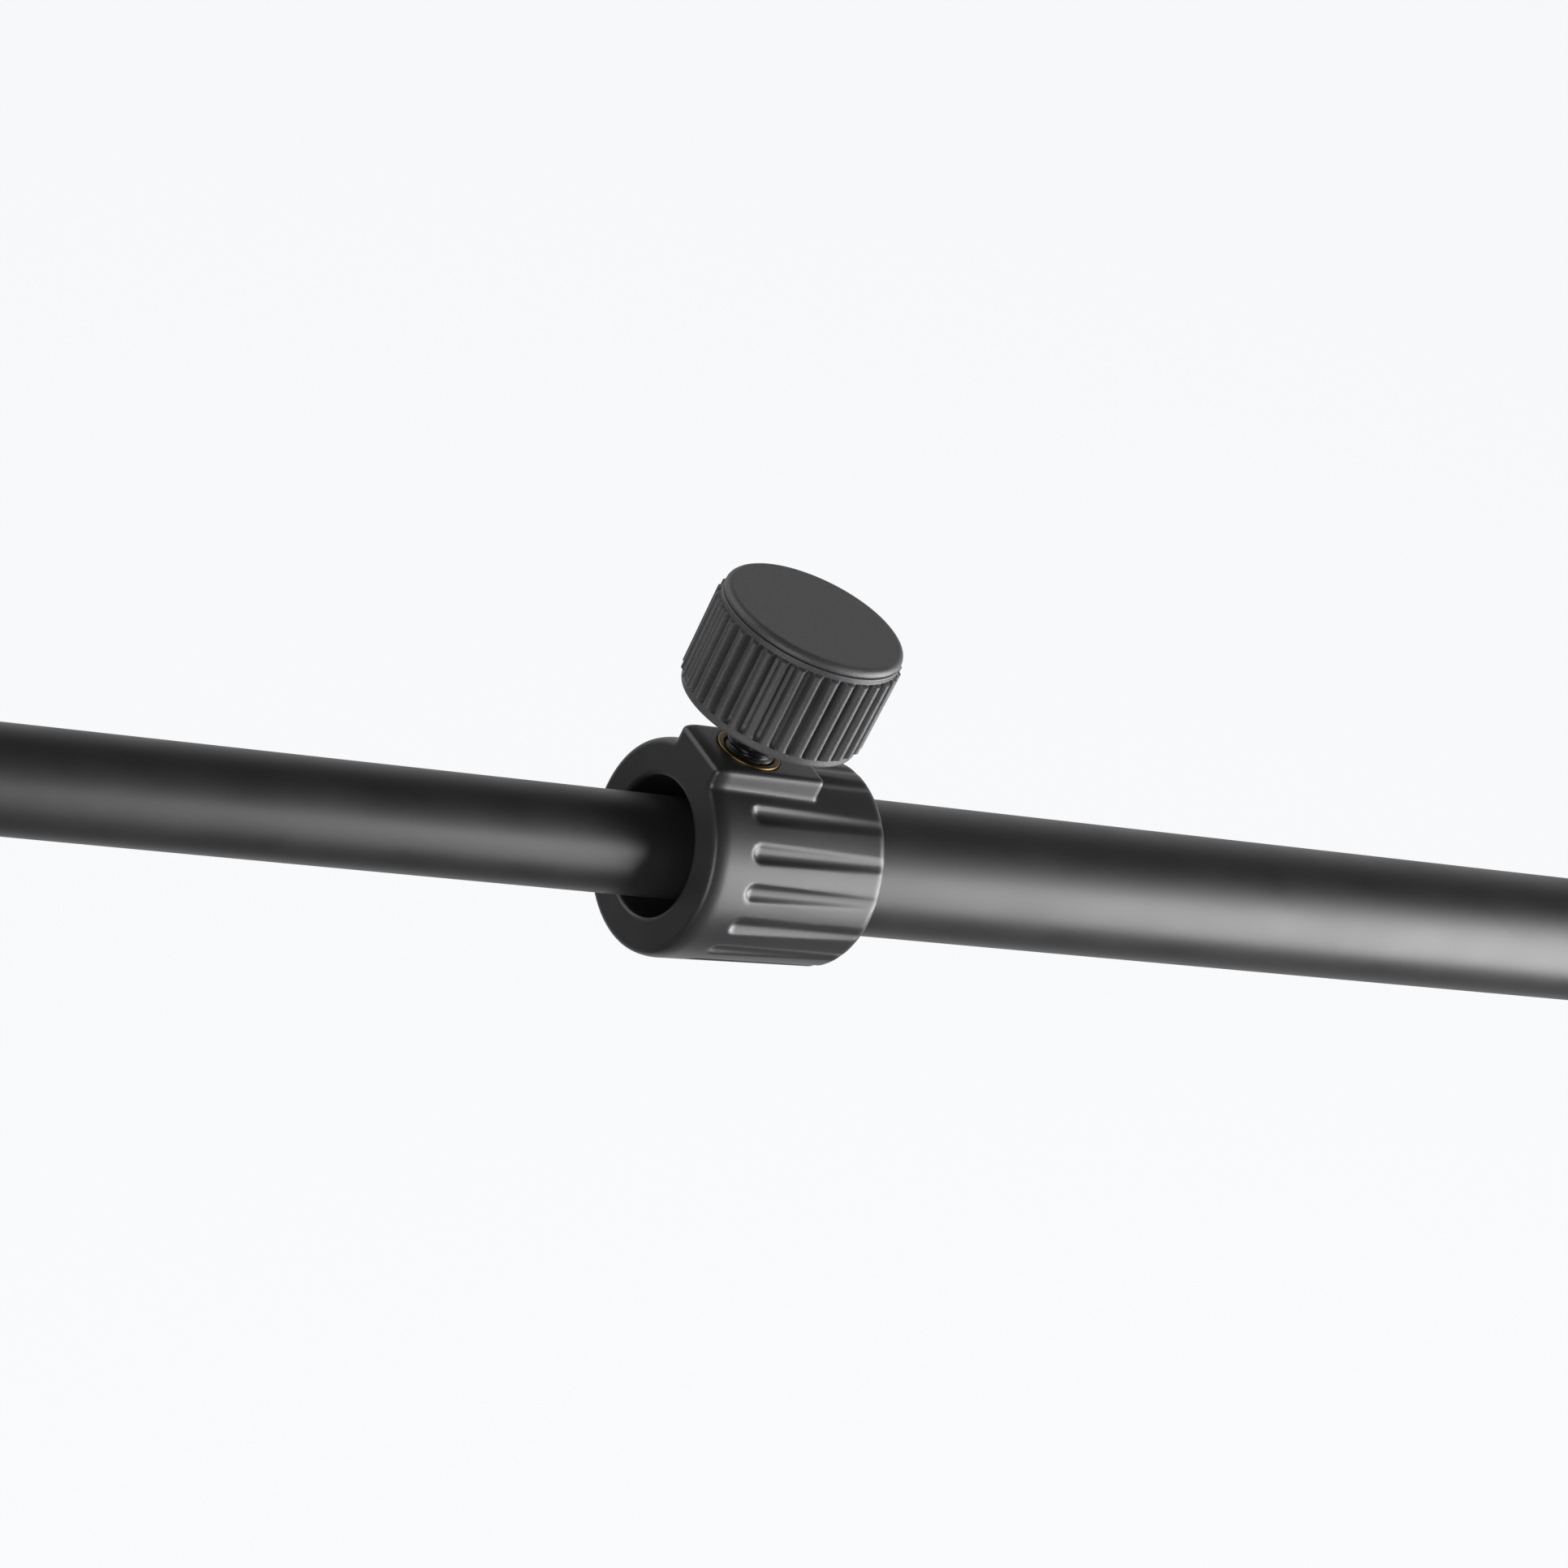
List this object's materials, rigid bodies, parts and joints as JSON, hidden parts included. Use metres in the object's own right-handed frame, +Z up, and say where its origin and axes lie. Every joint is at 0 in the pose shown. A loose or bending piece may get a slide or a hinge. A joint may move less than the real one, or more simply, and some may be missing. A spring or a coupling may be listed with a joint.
{
  "type": "c stand",
  "caption": "Free-standing C-stand: nesting bent legs, telescopic column, tilting grip head and a telescopic boom arm locked by a grooved collar with a fluted screw knob.",
  "frame": {"origin": "the point on the floor under the column's axis", "axes": "+Z up along the column; the boom's thin end points to -X and rises; the tilt pivot lies along Y; the column's knobs face -Y"},
  "size_m": [0.8075, 0.8134, 1.5007],
  "materials": {
    "tube_paint": "satin black powder coat",
    "collar_plastic": "satin black moulded plastic",
    "knob_plastic": "matt dark grey moulded plastic, finely textured",
    "guide_nylon": "plain black nylon",
    "insert_brass": "turned brass",
    "screw_steel": "zinc-plated steel",
    "foot_rubber": "matt black rubber"
  },
  "bodies": {
    "column": {"column_tube": "tube_paint", "column_foot_cap": "collar_plastic", "column_collar": "collar_plastic", "column_bush": "guide_nylon", "column_insert": "insert_brass", "leg_ring_1": "tube_paint", "leg_tube_1": "tube_paint", "leg_foot_1": "foot_rubber", "ring_stop": "tube_paint"},
    "leg_2": {"leg_ring_2": "tube_paint", "leg_tube_2": "tube_paint", "leg_foot_2": "foot_rubber"},
    "leg_3": {"leg_ring_3": "tube_paint", "leg_tube_3": "tube_paint", "leg_foot_3": "foot_rubber"},
    "riser_1": {"riser_1_tube": "tube_paint", "riser_1_slider": "guide_nylon", "riser_collar": "collar_plastic", "riser_bush": "guide_nylon", "riser_insert": "insert_brass"},
    "riser_2": {"riser_2_tube": "tube_paint", "riser_2_slider": "guide_nylon", "spigot": "screw_steel"},
    "head": {"head_base": "tube_paint", "pan_insert": "insert_brass"},
    "pan_screw": {"pan_stud": "screw_steel", "pan_knob": "knob_plastic", "pan_knob_cap": "knob_plastic"},
    "yoke": {"arm_yoke": "collar_plastic", "yoke_insert": "insert_brass", "tilt_nut": "screw_steel"},
    "liner": {"arm_liner": "guide_nylon"},
    "arm": {"arm_outer_tube": "tube_paint", "arm_rear_cap": "collar_plastic", "arm_collar": "collar_plastic", "arm_bush": "guide_nylon", "arm_insert": "insert_brass"},
    "boom": {"boom_tube": "tube_paint", "boom_slider": "guide_nylon", "boom_tip": "screw_steel"},
    "column_pad": {"column_pad": "guide_nylon"},
    "column_screw": {"column_stud": "screw_steel", "column_knob": "knob_plastic", "column_knob_cap": "knob_plastic"},
    "riser_pad": {"riser_pad": "guide_nylon"},
    "riser_screw": {"riser_stud": "screw_steel", "riser_knob": "knob_plastic", "riser_knob_cap": "knob_plastic"},
    "yoke_pad": {"yoke_pad": "guide_nylon"},
    "yoke_screw": {"yoke_stud": "screw_steel", "yoke_knob": "knob_plastic", "yoke_knob_cap": "knob_plastic"},
    "arm_pad": {"arm_pad": "guide_nylon"},
    "arm_screw": {"arm_stud": "screw_steel", "arm_knob": "knob_plastic", "arm_knob_cap": "knob_plastic"},
    "tilt_washer": {"tilt_washer": "screw_steel"},
    "tilt_screw": {"tilt_stud": "screw_steel", "tilt_knob": "knob_plastic", "tilt_knob_cap": "knob_plastic"}
  },
  "joints": [
    {"name": "leg_2_swing", "type": "hinge", "parent": "column", "child": "leg_2", "pos_m": [0, 0, 0.158], "axis": [0, 0, 1], "range_deg": [-110, 0]},
    {"name": "leg_3_swing", "type": "hinge", "parent": "column", "child": "leg_3", "pos_m": [0, 0, 0.196], "axis": [0, 0, 1], "range_deg": [0, 110]},
    {"name": "riser_1_slide", "type": "slide", "parent": "column", "child": "riser_1", "axis": [0, 0, 1], "range_m": [-0.2, 0.14]},
    {"name": "riser_2_slide", "type": "slide", "parent": "riser_1", "child": "riser_2", "axis": [0, 0, 1], "range_m": [-0.19, 0.14]},
    {"name": "head_pan", "type": "hinge", "parent": "riser_2", "child": "head", "pos_m": [0, 0, 1.16], "axis": [0, 0, 1], "continuous": true},
    {"name": "arm_tilt", "type": "hinge", "parent": "head", "child": "yoke", "pos_m": [0, 0, 1.16], "axis": [0, 1, 0], "range_deg": [-80, 40]},
    {"name": "arm_roll", "type": "hinge", "parent": "yoke", "child": "liner", "pos_m": [-0.00201, 0, 1.2061], "axis": [-0.8878, 0, 0.4602], "continuous": true},
    {"name": "arm_slide", "type": "slide", "parent": "liner", "child": "arm", "axis": [-0.8878, 0, 0.4602], "range_m": [-0.22, 0.18]},
    {"name": "boom_slide", "type": "slide", "parent": "arm", "child": "boom", "axis": [-0.8878, 0, 0.4602], "range_m": [-0.26, 0.18]},
    {"name": "pan_knob_turn", "type": "hinge", "parent": "head", "child": "pan_screw", "pos_m": [0, 0.018, 1.116], "axis": [0, 1, 0], "range_deg": [0, 1080]},
    {"name": "column_screw_travel", "type": "slide", "parent": "column", "child": "column_pad", "axis": [0, -1, 0], "range_m": [0, 0.00375]},
    {"name": "column_knob_turn", "type": "hinge", "parent": "column_pad", "child": "column_screw", "pos_m": [0, -0.0256, 0.606], "axis": [0, -1, 0], "range_deg": [0, 1080]},
    {"name": "riser_screw_travel", "type": "slide", "parent": "riser_1", "child": "riser_pad", "axis": [0, -1, 0], "range_m": [0, 0.00375]},
    {"name": "riser_knob_turn", "type": "hinge", "parent": "riser_pad", "child": "riser_screw", "pos_m": [0, -0.0221, 0.856], "axis": [0, -1, 0], "range_deg": [0, 1080]},
    {"name": "yoke_screw_travel", "type": "slide", "parent": "yoke", "child": "yoke_pad", "axis": [0.4602, 0, 0.8878], "range_m": [0, 0.00375]},
    {"name": "yoke_knob_turn", "type": "hinge", "parent": "yoke_pad", "child": "yoke_screw", "pos_m": [0.01572, 0, 1.22075], "axis": [0.4602, 0, 0.8878], "range_deg": [0, 1080]},
    {"name": "arm_screw_travel", "type": "slide", "parent": "arm", "child": "arm_pad", "axis": [0.4602, 0, 0.8878], "range_m": [0, 0.00375]},
    {"name": "arm_knob_turn", "type": "hinge", "parent": "arm_pad", "child": "arm_screw", "pos_m": [-0.25779, 0, 1.36019], "axis": [0.4602, 0, 0.8878], "range_deg": [0, 1080]},
    {"name": "tilt_screw_travel", "type": "slide", "parent": "yoke", "child": "tilt_washer", "axis": [0, -1, 0], "range_m": [0, 0.00375]},
    {"name": "tilt_knob_turn", "type": "hinge", "parent": "tilt_washer", "child": "tilt_screw", "pos_m": [0, -0.0123, 1.16], "axis": [0, -1, 0], "range_deg": [0, 1080]}
  ],
  "couplings": [
    {"joint": "column_knob_turn", "follows": "column_screw_travel", "rad_per_m": 5026.5},
    {"joint": "riser_knob_turn", "follows": "riser_screw_travel", "rad_per_m": 5026.5},
    {"joint": "yoke_knob_turn", "follows": "yoke_screw_travel", "rad_per_m": 5026.5},
    {"joint": "arm_knob_turn", "follows": "arm_screw_travel", "rad_per_m": 5026.5},
    {"joint": "tilt_knob_turn", "follows": "tilt_screw_travel", "rad_per_m": 5026.5}
  ]
}
